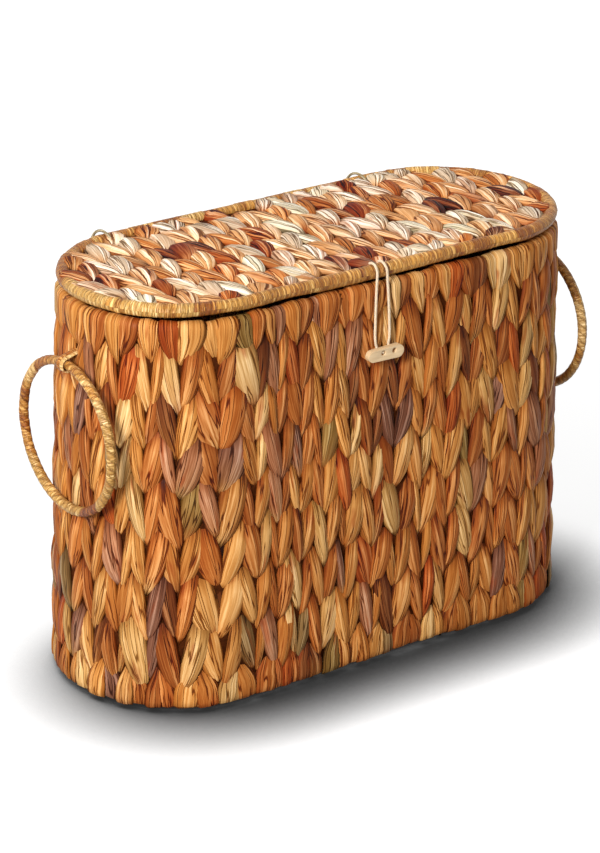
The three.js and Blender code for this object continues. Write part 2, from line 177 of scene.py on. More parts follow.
wallLeafLook = {
    "fibreSpacing": 0.7, "fibreLength": 34,        # mm, coarser than real fibres so that they show
    "creaseSpacing": 2.4, "creaseLength": 75,
    "stainSpacing": 5, "stainLength": 30,
    "strandApart": 5.3,                            # steps in the noise from strand to strand
    "noiseMiddle": (0.3, 0.7),                     # the range of the noise that each tone spans
    "fibreTone": (0.78, 1.14), "creaseTone": (0.82, 1.1),
    "foldWidth": 0.036, "foldDark": 0.34,
    "stainRange": (0.56, 0.74), "stainAmount": 0.6, "stainColour": "#a84e1a",
    "shadeRedden": 1.3,
    "fibreRise": 0.5, "creaseRise": 1.2, "foldRise": 0.8,
    "bump": 0.9, "bumpDepth": 0.5,
    "roughness": (0.7, 0.46), "ior": 1.45, "gloss": 0.14,
}
lidLeafLook = {**wallLeafLook, "fibreTone": (0.76, 1.14), "creaseTone": (0.72, 1.1),
               "foldWidth": 0.05, "foldDark": 0.22, "stainAmount": 0.5, "stainColour": "#b96a33",
               "shadeRedden": 2.8, "bumpDepth": 0.7}
wrapLook = {**wallLeafLook, "fibreSpacing": 0.5, "fibreLength": 14, "creaseSpacing": 1.3,
            "creaseLength": 22, "foldWidth": 0.06, "foldDark": 0.6, "bumpDepth": 0.35,
            "roughness": (0.5, 0.32), "fibreTone": (0.74, 1.14), "creaseTone": (0.8, 1.1),
            "stainAmount": 0.4, "gloss": 0.4}

wallLeaf = driedLeaf("dried_water_hyacinth_leaf", wallLeafLook)
lidLeaf = driedLeaf("dried_water_hyacinth_pale", lidLeafLook)
wrapStrip = driedLeaf("polished_hyacinth_strip", wrapLook)


# The other materials mix a dark and a light tone by a pattern, which may give a relief too
def finishTwoTone(tree, pattern, look):
    surface = dict(look["surface"])
    surface["Base Color"] = addNode(tree, "ShaderNodeMix", {"data_type": "RGBA"}, {
        0: pattern, 6: (*linear(look["dark"]), 1), 7: (*linear(look["light"]), 1)}).outputs[2]
    if "bump" in look:
        surface["Normal"] = addNode(tree, "ShaderNodeBump", None, {
            "Height": pattern, "Strength": look["bump"],
            "Distance": look["bumpDepth"] * mm}).outputs[0]
    finishMaterial(tree, addNode(tree, "ShaderNodeBsdfPrincipled", None, surface))


def grained(name, look):
    material, tree = newMaterial(name)
    place = addNode(tree, "ShaderNodeTexCoord").outputs["Object"]
    stretched = addNode(tree, "ShaderNodeMapping", None, {
        "Vector": place, "Scale": [1 / (spacing * mm) for spacing in look["grain"]]})
    grain = addNode(tree, "ShaderNodeTexNoise", None, {
        "Vector": stretched.outputs[0], "Scale": 1.0, "Detail": 3.0}).outputs[0]
    finishTwoTone(tree, grain, look)
    return material


def twistedCord(name, look):
    material, tree = newMaterial(name)
    place = addNode(tree, "ShaderNodeAttribute", {"attribute_name": "strandPlace"}).outputs["Vector"]
    turned = addNode(tree, "ShaderNodeMapping", None, {
        "Vector": place, "Scale": (1 / (look["plySpacing"] * mm),) * 3})
    ply = addNode(tree, "ShaderNodeTexWave", {"bands_direction": "DIAGONAL"}, {
        "Vector": turned.outputs[0], "Scale": look["plyScale"],
        "Distortion": look["plyBend"]}).outputs["Fac"]
    finishTwoTone(tree, ply, look)
    return material


# Fibrous inside of the weave, seen only through small gaps: rough and without gloss, and near black
# as painted shade in those gaps
heart = grained("hyacinth_heart_painted_shade", {
    "grain": (2.5, 2.5, 2.5), "dark": "#1c0a03", "light": "#5a290c", "bump": 0.8, "bumpDepth": 0.6,
    "surface": {"Roughness": 0.9, "Specular IOR Level": 0.05}})
# Annealed black iron wire: dull brown-black, with faint scale
wire = grained("annealed_iron_wire", {
    "grain": (3, 3, 3), "dark": "#1f1814", "light": "#43342a",
    "surface": {"Metallic": 0.85, "Roughness": 0.6}})
# Twisted plant cord: hairy matt yarn, its plies marked by a slanted wave
cordLook = {"plyScale": 0.35, "plyBend": 0.6, "bump": 0.6, "bumpDepth": 0.3,
            "surface": {"Roughness": 0.85}}
creamYarn = twistedCord("cream_cotton_cord", {
    **cordLook, "plySpacing": 1.2, "dark": "#dfc4a0", "light": "#eed9bc"})
tanYarn = twistedCord("twisted_rush_cord", {
    **cordLook, "plySpacing": 1.8, "dark": "#7d6c4c", "light": "#bfae8c"})
# Polished bone: warm cream with fine lengthwise pores and a soft gloss
bone = grained("polished_bone", {
    "grain": (14, 1.6, 1.6), "dark": "#cba778", "light": "#efd3a9",
    "surface": {"Roughness": 0.32, "IOR": 1.54}})
print("materials made")


# Strand layers, kept by every woven or wrapped piece
def strandMesh():
    bm = bmesh.new()
    layers = {
        "place": bm.verts.layers.float_vector.new("strandPlace"),
        "colour": bm.verts.layers.float_color.new("strandColour"),
        "shade": bm.verts.layers.float.new("strandShade"),
    }
    return bm, layers


def vertsOf(parts):
    return [part for part in parts if isinstance(part, bmesh.types.BMVert)]


def finishPiece(bm, name, material, body, nodes=(), smooth=True):
    bmesh.ops.recalc_face_normals(bm, faces=bm.faces)
    mesh = bpy.data.meshes.new(name)
    for face in bm.faces:
        face.smooth = smooth
    bm.to_mesh(mesh)
    bm.free()
    mesh.materials.append(material)
    piece = bpy.data.objects.new(name, mesh)
    bpy.context.scene.collection.objects.link(piece)
    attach(piece, body)
    if nodes:
        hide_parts(*nodes)
    return piece


# A grid rolled into a tube round a route. routeAt gives centre, side and up at a share of
# the length; sizeAt gives half width, half thickness, colour, shade and the strip's number.
# Shear sets the columns aslant, by that share of the length in one turn round the tube.
def rolledTube(bm, layers, routeAt, length, steps, sides, sizeAt, closed, shear=0.0):
    made = bmesh.ops.create_grid(bm, x_segments=steps, y_segments=sides, size=1)["verts"]
    for vert in made:
        column, turn = (vert.co.x + 1) / 2, (vert.co.y + 1) / 2
        share = column + shear * turn
        angle = 2 * math.pi * turn
        centre, side, up = routeAt(share)
        wide, thick, colour, shade, number = sizeAt(share, column)
        if not closed and abs(vert.co.x) > 0.9999:
            wide = thick = 0
        vert[layers["place"]] = (share * length, turn * 2 * math.pi * wide, number)
        vert[layers["colour"]] = (*colour, 1)
        vert[layers["shade"]] = shade
        vert.co = centre + side * wide * math.cos(angle) + up * thick * math.sin(angle)
    bmesh.ops.remove_doubles(bm, verts=made, dist=1e-6)


# Points evenly spaced on a smooth curve through a route
def smoothRoute(route, perSpan=6):
    points = [Vector(p) for p in route]
    padded = [points[0] * 2 - points[1], *points, points[-1] * 2 - points[-2]]
    smooth = []
    for before, start, end, after in zip(padded, padded[1:], padded[2:], padded[3:]):
        for i in range(perSpan):
            t = i / perSpan
            smooth.append(0.5 * (2 * start + (end - before) * t
                                 + (2 * before - 5 * start + 4 * end - after) * t * t
                                 + (3 * start - before - 3 * end + after) * t ** 3))
    return [*smooth, points[-1]]


# Closure cords: two limp legs that carry the toggle, side by side, in metres
closureCord = {
    "radius": 0.001,
    "route": [                      # the left leg's x and the right one's, and their y and z
        (-0.0074, 0.0005, -0.0773, 0.3096), (-0.0074, 0.0005, -0.0790, 0.3104),
        (-0.0074, 0.0005, -0.0810, 0.31075), (-0.0074, 0.0005, -0.0832, 0.3104),
        (-0.0075, 0.0006, -0.0851, 0.3092), (-0.0076, 0.0008, -0.0866, 0.3075),
        (-0.0077, 0.0010, -0.08735, 0.3054), (-0.0078, 0.0011, -0.0875, 0.303),
        (-0.0081, 0.0014, -0.0876, 0.298), (-0.0086, 0.0020, -0.0878, 0.290),
        (-0.0090, 0.0026, -0.0881, 0.280), (-0.0093, 0.0031, -0.0883, 0.270),
        (-0.0095, 0.0034, -0.0885, 0.260), (-0.0093, 0.0032, -0.08865, 0.255),
        (-0.0089, 0.0026, -0.0888, 0.2522), (-0.0086, 0.0020, -0.08925, 0.2502),
        (-0.0084, 0.0015, -0.0907, 0.24875), (-0.0084, 0.0013, -0.0927, 0.2482),
    ],
}


def cordTube(bm, layers, points, radius):
    total = sum((b - a).length for a, b in zip(points, points[1:]))
    last = len(points) - 1
    offRoute = Vector((0.9, 0.1, 0.2))         # no cord runs this way

    def routeAt(share):
        i = min(int(round(share * last)), last)
        ahead = points[min(i + 1, last)] - points[max(i - 1, 0)]
        side = ahead.cross(offRoute).normalized()
        return points[i], side, ahead.normalized().cross(side)

    rolledTube(bm, layers, routeAt, total, last, 8,
               lambda share, column: (radius, radius, (1, 1, 1), 1, 0), closed=False)
    return total


def makeClosureCords():
    for column, name in enumerate(("left", "right")):
        route = [(row[column], *row[2:]) for row in closureCord["route"]]
        bm, layers = strandMesh()
        points = smoothRoute(route)
        total = cordTube(bm, layers, points, closureCord["radius"])
        piece = finishPiece(bm, f"cord_{name}", creamYarn, "toggle",
                            [f"closure_cord_{name}"])
        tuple(route[0])
        print("cord", name, round(total, 4))


makeClosureCords()

# The wall's plan: a stadium that widens evenly from the rim to the foot
wallPlan = {
    "rimStraight": 119 * mm, "rimRadius": 86 * mm,
    "baseStraight": 120 * mm, "baseRadius": 93 * mm,
    "height": 299 * mm,
}
rimPerimeter = 4 * wallPlan["rimStraight"] + 2 * math.pi * wallPlan["rimRadius"]


# A point on a stadium: along runs from the front middle towards +X, on the rim's length
def stadiumPoint(along, straight, radius, out):
    half = wallPlan["rimStraight"]
    arc = math.pi * wallPlan["rimRadius"]
    along %= rimPerimeter
    stretch = straight / half
    if along < half:
        return along * stretch, -radius - out
    if along < half + arc:
        angle = math.pi * ((along - half) / arc - 0.5)
        return straight + math.cos(angle) * (radius + out), math.sin(angle) * (radius + out)
    if along < 3 * half + arc:
        return (2 * half + arc - along) * stretch, radius + out
    if along < 3 * half + 2 * arc:
        angle = math.pi * (0.5 - (along - 3 * half - arc) / arc)
        return -straight - math.cos(angle) * (radius + out), math.sin(angle) * (radius + out)
    return (along - rimPerimeter) * stretch, -radius - out


def wallPoint(along, height, out):
    down = (wallPlan["height"] - height) / wallPlan["height"]
    straight = wallPlan["rimStraight"] + (wallPlan["baseStraight"] - wallPlan["rimStraight"]) * down
    radius = wallPlan["rimRadius"] + (wallPlan["baseRadius"] - wallPlan["rimRadius"]) * down
    x, y = stadiumPoint(along, straight, radius, out)
    return Vector((x, y, height))


def curveAt(curve, t):
    for (t0, v0), (t1, v1) in zip(curve, curve[1:]):
        if t <= t1:
            return v0 + (v1 - v0) * (t - t0) / (t1 - t0)
    return curve[-1][1]


def between(low, high):
    return chance.uniform(low, high)


def wander(reach):
    return between(-reach, reach)


# Colours of the dried leaves, with how often each comes up
wallColours = [
    ("#d08d4b", 22), ("#c67d40", 20), ("#d99a55", 15), ("#e3b577", 8), ("#dda462", 10),
    ("#b46d36", 10), ("#8c532c", 5), ("#a5824b", 1.6), ("#a08054", 1.4), ("#986a53", 3.5),
    ("#b9815d", 6), ("#bd662f", 4),
]
lidColours = [
    ("#f9d2a8", 26), ("#ffecd6", 27), ("#eab27a", 12), ("#d49058", 8), ("#f8cda2", 13),
    ("#b66b3b", 5), ("#864727", 3), ("#fcdfc6", 9),
]
wrapColours = [("#c78c43", 4), ("#dfa95a", 5), ("#eabd74", 3), ("#b3742c", 3), ("#d59c4f", 4)]
ringColours = [("#e0b36c", 5), ("#d69f54", 4), ("#ecc485", 3), ("#c0823c", 2), ("#a8642b", 1.5)]


def pickColour(palette, jitter=0.1):
    hexes = [colour for colour, _ in palette]
    tone = linear(chance.choices(hexes, [weight for _, weight in palette])[0])
    bright = between(1 - jitter, 1 + jitter)
    return [min(channel * bright, 1) for channel in tone]


# A strand's unit shape, turned from a ball: across -1 to 1, lift -1 to 1, along 0 to 1
def strandTemplate(bm, rings, sides=8):
    made = bmesh.ops.create_uvsphere(bm, u_segments=sides, v_segments=rings, radius=1)["verts"]
    for vert in made:
        polar = math.acos(max(-1.0, min(1.0, vert.co.z)))
        spread = math.hypot(vert.co.x, vert.co.y)
        aroundRing = (vert.co.x / spread, vert.co.y / spread) if spread > 1e-4 else (0, 0)
        vert.co = (*aroundRing, polar / math.pi)
    faces = {face for vert in made for face in vert.link_faces}
    edges = {edge for vert in made for edge in vert.link_edges}
    return [*made, *edges, *faces]


# What all strands share: places across run from -1 to 1, and places along from 0 to 1
strandCut = {
    "aimReach": 0.03,                # how far ahead and back the direction is taken
    "looseFrom": 0.7, "looseShift": 1.6,
    "creaseSides": (-0.7, 0, 0.7), "creaseHalf": 0.3, "creaseLift": 0.1,
    "colourTurn": ((0, 0.15), (0.4, 0), (0.75, 0.25), (1, 1)),
    # painted shade: edgeShade darkens a strand towards its edges, where it curves away under its
    # neighbours
    "edgeShade": 0.5, "edgePower": 5,
}
# How far strands differ: a share of the width, chances, and mm for the others
strandSpread = {
    "width": (0.84, 1.34), "tilt": 0.9, "shift": 0.7, "crease": (0, 1.2), "ridge": 1.1,
    "twoColoured": 0.35,
}


# Lays one strand: lineAt gives its middle (sideways, run) and place puts a point on the surface
def layStrand(bm, layers, template, shape, strand, lineAt, place):
    copied = bmesh.ops.duplicate(bm, geom=template)["geom"]
    rings = {}
    creaseSide = chance.choice(strandCut["creaseSides"])
    for vert in vertsOf(copied):
        across, lift, t = vert.co
        key = round(t, 4)
        if key not in rings:
            here = Vector(lineAt(t))
            ahead = Vector(lineAt(min(t + strandCut["aimReach"], 1)))
            step = (ahead - Vector(lineAt(max(t - strandCut["aimReach"], 0)))).normalized()
            rings[key] = (here, step, strand["halfWidth"] * curveAt(shape["width"], t),
                          curveAt(shape["depth"], t) * mm, curveAt(shape["thick"], t))
        here, step, half, depth, thick = rings[key]
        offset = across * half
        face = shape["front"] if lift > 0 else shape["back"]
        rise = depth + lift * face * thick * mm + strand["tilt"] * across * thick * mm
        loose = 1 if t < strandCut["looseFrom"] else strandCut["looseShift"]
        rise += strand["shift"] * loose * mm
        rise += strand["ridge"] * across * max(lift, 0) * thick * mm
        if lift > strandCut["creaseLift"] and abs(across - creaseSide) < strandCut["creaseHalf"]:
            rise -= strand["crease"] * thick * mm
        mix = curveAt(strandCut["colourTurn"], t)
        vert[layers["colour"]] = (*(a + (b - a) * mix for a, b in zip(*strand["colours"])), 1)
        vert[layers["place"]] = (
            across * shape["grooveSpan"] * mm, t * strand["length"], strand["number"])
        # painted shade: the shape's shade curve darkens the ends tucked under other strands, and
        # edgeShade the edges
        edge = strandCut["edgeShade"] * abs(across) ** strandCut["edgePower"]
        vert[layers["shade"]] = curveAt(shape["shade"], t) * (1 - edge)
        vert.co = place(here.x - offset * step.y, here.y + offset * step.x, rise)


def newStrand(halfWidth, length, palette, number):
    first = pickColour(palette)
    return {
        "halfWidth": halfWidth * between(*strandSpread["width"]),
        "length": length,
        "number": number,
        "tilt": wander(strandSpread["tilt"]),
        "shift": wander(strandSpread["shift"]),
        "crease": between(*strandSpread["crease"]),
        "ridge": wander(strandSpread["ridge"]),
        "colours": (first, pickColour(palette)
                    if chance.random() < strandSpread["twoColoured"] else first),
    }


# Where the strand numbers start, so that weaves side by side don't share a place in the noise
firstNumber = {"wall": 0, "rim": 3000, "foot": 4000, "flat": 5000, "strap": 9000}


# Twined leaves of the wall, in pairs that meet in a V
wallWeave = {
    "pairCentres": [-235, -213, -191, -169, -141, -111, -92, -74, -53, -32, -11, 12, 37, 58,
                    80.5, 104, 127],   # mm along the rim from the front middle, as photographed
    "hiddenPairs": 28,
    "hiddenSpread": (18, 28),
    "columnWander": 2.6,
    "tipHeights": [228, 194, 161, 128, 92, 54, 17], "tipWander": 5,
    "rowPitch": 36,
    "overlap": 24, "topWander": 3,
    "innerFace": 10.6,
    "leafShare": 0.56,                 # a leaf's half width, as a share of the pair's half
    "filler": {"share": 0.5, "above": 12, "below": 30, "lowest": 6, "length": 40},
}
leafBow = 1                            # mm to either side
wallShape = {
    "width": ((0, 0.8), (0.12, 0.98), (0.35, 1.12), (0.6, 1.06), (0.78, 0.82), (0.9, 0.5),
              (0.97, 0.22), (1, 0)),
    "line": ((0, 0.94), (0.2, 0.88), (0.45, 0.68), (0.7, 0.42), (0.9, 0.16), (1, 0.04)),
    "depth": ((0, -5.4), (0.125, -3.9), (0.3, -2.5), (0.5, -1.8), (0.8, -2.2), (1, -3.4)),
    "thick": ((0, 0.4), (0.3, 0.95), (0.5, 1), (0.8, 0.85), (1, 0.2)),
    # painted shade along the leaf: darkest at the top end, tucked under the row above, and darker at
    # the tip
    "shade": ((0, 0.4), (0.15, 0.62), (0.32, 1), (0.88, 1), (1, 0.72)),
    "front": 3.0,
    "back": 2.0,
    "grooveSpan": 6.3,             # mm, so that the grooves narrow towards the tips
}


# The strands behind, that show in the gap below each pair's tips, with darker colours and shade than
# the wall's leaves: painted shade in that gap
fillerColours = [("#8a5428", 5), ("#6e3f20", 4), ("#a56a36", 3)]
fillerShape = {
    **wallShape,
    "depth": ((0, -6.0), (0.3, -4.6), (0.7, -4.6), (1, -6.0)),
    "shade": ((0, 0.5), (0.5, 0.75), (1, 0.5)),
    "front": 1.8,
    "back": 1.2,
}


def pairPlaces():
    seen = [centre * mm for centre in wallWeave["pairCentres"]]
    room = rimPerimeter - (seen[-1] - seen[0])
    gaps = [between(*wallWeave["hiddenSpread"]) for _ in range(wallWeave["hiddenPairs"] + 1)]
    scale = room / sum(gaps)
    for gap in gaps[:-1]:
        seen.append(seen[-1] + gap * scale)
    return seen


pairs = pairPlaces()


# The two leaves of each pair in one row: the pair's centre and the leaf's outer side.
# Columns wander a little from row to row, and neighbours share the place where they meet.
def pairSides():
    centres = [centre + wander(wallWeave["columnWander"]) * mm for centre in pairs]
    meets = []
    for i, centre in enumerate(centres):
        after = centres[(i + 1) % len(pairs)] + (rimPerimeter if i + 1 == len(pairs) else 0)
        meets.append((centre + after) / 2 + wander(wallWeave["columnWander"]) * mm)
    for i, centre in enumerate(centres):
        yield centre, meets[i - 1] - (rimPerimeter if i == 0 else 0)
        yield centre, meets[i]


def leafLine(centre, outer, top, tip, shape, bow):
    def lineAt(t):
        return (centre + (outer - centre) * curveAt(shape["line"], t) + bow * math.sin(math.pi * t),
                top + (tip - top) * t)
    return lineAt


def insidePoint(along, height, rise):
    return wallPoint(along, height, -wallWeave["innerFace"] * mm - rise)


def makeWallWeave(name, place, nodes):
    bm, layers = strandMesh()
    template = strandTemplate(bm, 8)
    number = firstNumber["wall"]
    filler = wallWeave["filler"]
    reach = wallWeave["rowPitch"] + wallWeave["overlap"]
    for tipHeight in wallWeave["tipHeights"]:
        for centre, outer in pairSides():
            number += 1
            half = abs(outer - centre)
            tip = (tipHeight + wander(wallWeave["tipWander"])) * mm
            top = (tipHeight + reach + wander(wallWeave["topWander"])) * mm
            strand = newStrand(half * wallWeave["leafShare"], top - tip, wallColours, number)
            line = leafLine(centre, outer, top, tip, wallShape, wander(leafBow) * mm)
            layStrand(bm, layers, template, wallShape, strand, line, place)
            if outer > centre:
                number += 1
                low = max(tip - filler["below"] * mm, filler["lowest"] * mm)
                strand = newStrand(half * filler["share"], filler["length"] * mm,
                                   fillerColours, number)
                line = leafLine(centre, centre, tip + filler["above"] * mm, low, wallShape, 0)
                layStrand(bm, layers, template, fillerShape, strand, line, place)
    bmesh.ops.delete(bm, geom=vertsOf(template))
    finishPiece(bm, name, wallLeaf, "basket", nodes)


makeWallWeave("wall_leaves_outside", wallPoint, ["woven_wall"])
makeWallWeave("wall_leaves_inside", insidePoint, [])
print("wall woven")

# Strips that fold over the rim, and the ends that fold under the foot
foldRound = {
    "radius": 4.4,
    "middle": 5.5,                 # mm inside the wall's outer face
    "stripFace": 1.6,
    "rimTop": 297.6, "gapDrop": 0.8,
    "rimTip": 264, "rimTipWander": 4, "rimShare": 0.6,
    "footLevel": 2.8,              # mm, where the ends turn under the wall
    "footTurn": 0.75,              # of half a turn
    "footLowest": 0.2, "footUnder": 9, "footTopWander": 2, "footShare": 0.54, "footLength": 1.4,
}
rimShape = {
    "width": ((0, 0), (0.06, 0.34), (0.2, 0.85), (0.36, 1.2), (0.64, 1.2), (0.8, 0.85),
              (0.94, 0.34), (1, 0)),
    "line": ((0, 0.05), (0.12, 0.26), (0.3, 0.46), (0.5, 0.52), (0.7, 0.46), (0.88, 0.26),
             (1, 0.05)),
    "depth": ((0, -2.4), (0.15, -0.6), (0.34, 0), (0.66, 0), (0.85, -0.6), (1, -2.4)),
    "thick": ((0, 0.2), (0.15, 1), (0.5, 0.75), (0.85, 1), (1, 0.2)),
    # painted shade at both ends, where the strip tucks under
    "shade": ((0, 0.75), (0.1, 1), (0.9, 1), (1, 0.75)),
    "front": 2.0,
    "back": 1.0,
    "grooveSpan": 6,
}
footShape = {
    **rimShape,
    "width": ((0, 0.3), (0.15, 0.6), (0.35, 0.95), (0.6, 1.28), (0.9, 1.2), (1, 0.3)),
    "line": ((0, 1.0), (0.25, 0.86), (0.5, 0.62), (1, 0.5)),
    "depth": ((0, -4.4), (0.15, -2.9), (0.35, -1.3), (0.6, 0), (0.8, 0), (1, -0.6)),
    "thick": ((0, 0.4), (0.3, 1), (0.8, 0.8), (1, 0.3)),
    # painted shade: darkest at the top end, tucked under the last row of leaves
    "shade": ((0, 0.45), (0.2, 0.85), (0.4, 1), (0.8, 0.95), (1, 0.65)),
}


# How open the gap under the lid is at a place on the rim, from 0 to 1
gapOpenings = [(-140, 22), (-85, 24), (95, 46)]      # mm along the rim, and half the stretch


def gapOpen(along):
    turn = round(rimPerimeter / mm, 2)
    place = (along / mm + turn // 2) % turn - turn // 2
    return max(math.exp(-((place - middle) / half) ** 2) for middle, half in gapOpenings)


def rimPlace(along, run, rise):
    radius = foldRound["radius"] * mm
    drop = foldRound["gapDrop"] * gapOpen(along)
    top = (foldRound["rimTop"] - drop) * mm - foldRound["stripFace"] * mm
    start = top - radius
    middle = -foldRound["middle"] * mm
    if run < 0:
        return wallPoint(along, start + run, middle + radius + rise)
    if run < math.pi * radius:
        angle = run / radius
        flat = wallPoint(along, start, middle + (radius + rise) * math.cos(angle))
        return flat + Vector((0, 0, (radius + rise) * math.sin(angle)))
    return wallPoint(along, start - (run - math.pi * radius), middle - radius - rise)


def makeRimStrips():
    bm, layers = strandMesh()
    template = strandTemplate(bm, 26)
    start = (foldRound["rimTop"] - foldRound["stripFace"] - foldRound["radius"]) * mm
    fold = math.pi * foldRound["radius"] * mm
    for number, (centre, outer) in enumerate(pairSides(), firstNumber["rim"]):
        low = (foldRound["rimTip"] + wander(foldRound["rimTipWander"])) * mm - start
        high = fold - low
        half = abs(outer - centre) * foldRound["rimShare"]
        strand = newStrand(half, high - low, wallColours, number)
        line = leafLine(centre, outer, low, high, rimShape, wander(leafBow) * mm)
        layStrand(bm, layers, template, rimShape, strand, line, rimPlace)
    bmesh.ops.delete(bm, geom=vertsOf(template))
    finishPiece(bm, "rim_strips", wallLeaf, "basket")


def footPlace(along, run, rise):
    radius = foldRound["radius"] * mm
    start = foldRound["footLevel"] * mm + radius
    middle = -foldRound["middle"] * mm
    if run > 0:
        return wallPoint(along, start + run, middle + radius + rise)
    angle = min(-run / radius, math.pi * foldRound["footTurn"])
    flat = wallPoint(along, start, middle + (radius + rise) * math.cos(angle))
    place = flat - Vector((0, 0, (radius + rise) * math.sin(angle)))
    place.z = max(place.z, foldRound["footLowest"] * mm)
    return place


def makeFootStrips():
    bm, layers = strandMesh()
    template = strandTemplate(bm, 12)
    top = (wallWeave["tipHeights"][-1] + wallWeave["overlap"]) * mm
    top -= (foldRound["radius"] + foldRound["footLevel"]) * mm
    for number, (centre, outer) in enumerate(pairSides(), firstNumber["foot"]):
        start = top + wander(foldRound["footTopWander"]) * mm
        half = abs(outer - centre) * foldRound["footShare"]
        strand = newStrand(half, start * foldRound["footLength"], wallColours, number)
        line = leafLine(centre, outer, start, -foldRound["footUnder"] * mm, footShape,
                        wander(leafBow) * mm)
        layStrand(bm, layers, template, footShape, strand, line, footPlace)
    bmesh.ops.delete(bm, geom=vertsOf(template))
    finishPiece(bm, "foot_strips", wallLeaf, "basket")


makeRimStrips()
makeFootStrips()
print("rim and foot folded")


# Heart of the wall, behind the leaves, dark as painted shade where it shows through the gaps
wallHeart = {"low": 9, "tall": 284, "inside": 2.6, "thick": 5.4, "columns": 180, "rows": 6}


def makeWallHeart():
    bm = bmesh.new()
    made = bmesh.ops.create_grid(
        bm, x_segments=wallHeart["columns"], y_segments=wallHeart["rows"], size=1)["verts"]
    for vert in made:
        along = (vert.co.x + 1) / 2 * rimPerimeter
        height = wallHeart["low"] + (vert.co.y + 1) / 2 * wallHeart["tall"]
        vert.co = wallPoint(along, height * mm, -wallHeart["inside"] * mm)
    bmesh.ops.remove_doubles(bm, verts=made, dist=1e-6)
    bmesh.ops.recalc_face_normals(bm, faces=bm.faces)
    bmesh.ops.solidify(bm, geom=bm.faces[:], thickness=wallHeart["thick"] * mm)
    finishPiece(bm, "wall_heart", heart, "basket")


makeWallHeart()

# Flat weaves: both faces of the lid and of the base
flatShape = {
    "width": ((0, 0.5), (0.125, 0.85), (0.4, 1.14), (0.65, 1.08), (0.85, 0.72), (0.95, 0.38),
              (1, 0)),
    "line": wallShape["line"],
    "depth": ((0, -3.4), (0.125, -2.0), (0.3, -0.5), (0.5, 0), (0.8, -0.4), (1, -1.8)),
    "thick": ((0, 0.4), (0.3, 0.95), (0.5, 1), (0.8, 0.9), (1, 0.3)),
    # painted shade along the leaf: darkest at the top end, tucked under the next row, and darker at
    # the tip
    "shade": ((0, 0.3), (0.12, 0.5), (0.27, 1), (0.86, 1), (1, 0.6)),
    "front": 5.2,
    "back": 1.6,
    "grooveSpan": 7,
    "edgeWander": 1.5, "tipWander": 3, "lengthWander": 2, "leafShare": 0.56,
    "topOver": 5, "shortest": 21,
}
lidWeave = {
    "name": "lid_leaves", "body": "lid", "slot": "lid_weave", "nodes": ["lid_panel"],
    "straight": 119, "radius": 78.5, "overRoll": 6.5,
    "rows": [62, 34, 6.5, -20.5, -48, -75, -102], "leafLength": 43, "pairWidth": 26,
    "topFace": 305.2, "topLift": 1.0, "underFace": 302.6, "underLift": 0.4, "frontReach": 1.5,
    "heart": (302.8, 305.0),
}
baseWeave = {
    "name": "base_leaves", "body": "basket", "slot": "wall_weave", "nodes": ["base_panel"],
    "straight": 120, "radius": 81.5, "overRoll": 0, "frontReach": 0,
    "rows": [62, 34, 6.5, -20.5, -48, -75, -102], "leafLength": 38, "pairWidth": 26,
    "topFace": 6.2, "topLift": 0.5, "underFace": 4.0, "underLift": 0.4,
    "heart": (4.2, 6.2),
}
rollCover = {"radius": 81, "height": 303.6, "clear": 5.3, "lift": 0.25}


def keepInside(x, y, straight, radius):
    end = max(-straight, min(straight, x))
    away = math.hypot(x - end, y)
    if away <= radius:
        return x, y
    return end + (x - end) * radius / away, y * radius / away


# How far a weave's upper face reaches: over the roll at the back and ends, up to it in front
def weaveReach(weave, y):
    share = max(0.0, min(1.0, (y / mm + 30) / 40))
    over = weave["overRoll"] * share * share * (3 - 2 * share)
    return (weave["radius"] + max(over, weave["frontReach"])) * mm


# Puts a point of a flat weave's upper face on the flat, or up over the lid's roll
def onUpperFace(weave, x, y, rise):
    straight = weave["straight"] * mm
    x, y = keepInside(x, y, straight, weaveReach(weave, y))
    level, lift = weave["topFace"] * mm, weave["topLift"]
    away = math.hypot(x - max(-straight, min(straight, x)), y) / mm - rollCover["radius"]
    if weave["overRoll"] and abs(away) < rollCover["clear"]:
        over = math.sqrt(rollCover["clear"] ** 2 - away ** 2)
        level = max(level, (rollCover["height"] + over) * mm)
        lift += (rollCover["lift"] - lift) * over / rollCover["clear"]
    return Vector((x, y, level + lift * rise))


def onUnderFace(weave, x, y, rise):
    kept = keepInside(x, y, weave["straight"] * mm, weave["radius"] * mm)
    return Vector((*kept, weave["underFace"] * mm - weave["underLift"] * rise))


def makeFlatWeave(weave, palette, material):
    bm, layers = strandMesh()
    template = strandTemplate(bm, 8)
    straight, radius = weave["straight"] * mm, weave["radius"] * mm
    count = math.ceil(2 * (straight + radius) / (weave["pairWidth"] * mm)) + 1
    number = firstNumber["flat"]
    for onFace, frontReach in ((onUpperFace, weave["frontReach"]), (onUnderFace, 0)):
        def place(x, y, rise):
            return onFace(weave, x, y, rise)

        room = radius + frontReach * mm
        edges = [(i - count / 2) * weave["pairWidth"] * mm + wander(flatShape["edgeWander"]) * mm
                 for i in range(count + 1)]
        leaves = [(tipY, (left + right) / 2, outer) for tipY in weave["rows"]
                  for left, right in zip(edges, edges[1:]) for outer in (left, right)]
        for tipY, centre, outer in leaves:
            number += 1
            tip = (tipY + wander(flatShape["tipWander"])) * mm
            top = tip + (weave["leafLength"] + wander(flatShape["lengthWander"])) * mm
            # a leaf that would pass the edge ends there
            beyond = max(0, abs(centre * 0.4 + outer * 0.6) - straight)
            if beyond > room:
                continue
            edge = math.sqrt(room ** 2 - beyond ** 2)
            tip = max(tip, -edge)
            top = min(top, edge + flatShape["topOver"] * mm)
            if top - tip < flatShape["shortest"] * mm:
                continue
            half = abs(outer - centre) * flatShape["leafShare"]
            strand = newStrand(half, top - tip, palette, number)
            line = leafLine(centre, outer, top, tip, flatShape, wander(leafBow) * mm)
            layStrand(bm, layers, template, flatShape, strand, line, place)
    bmesh.ops.delete(bm, geom=vertsOf(template))
    finishPiece(bm, weave["name"], material, weave["body"], weave["nodes"])
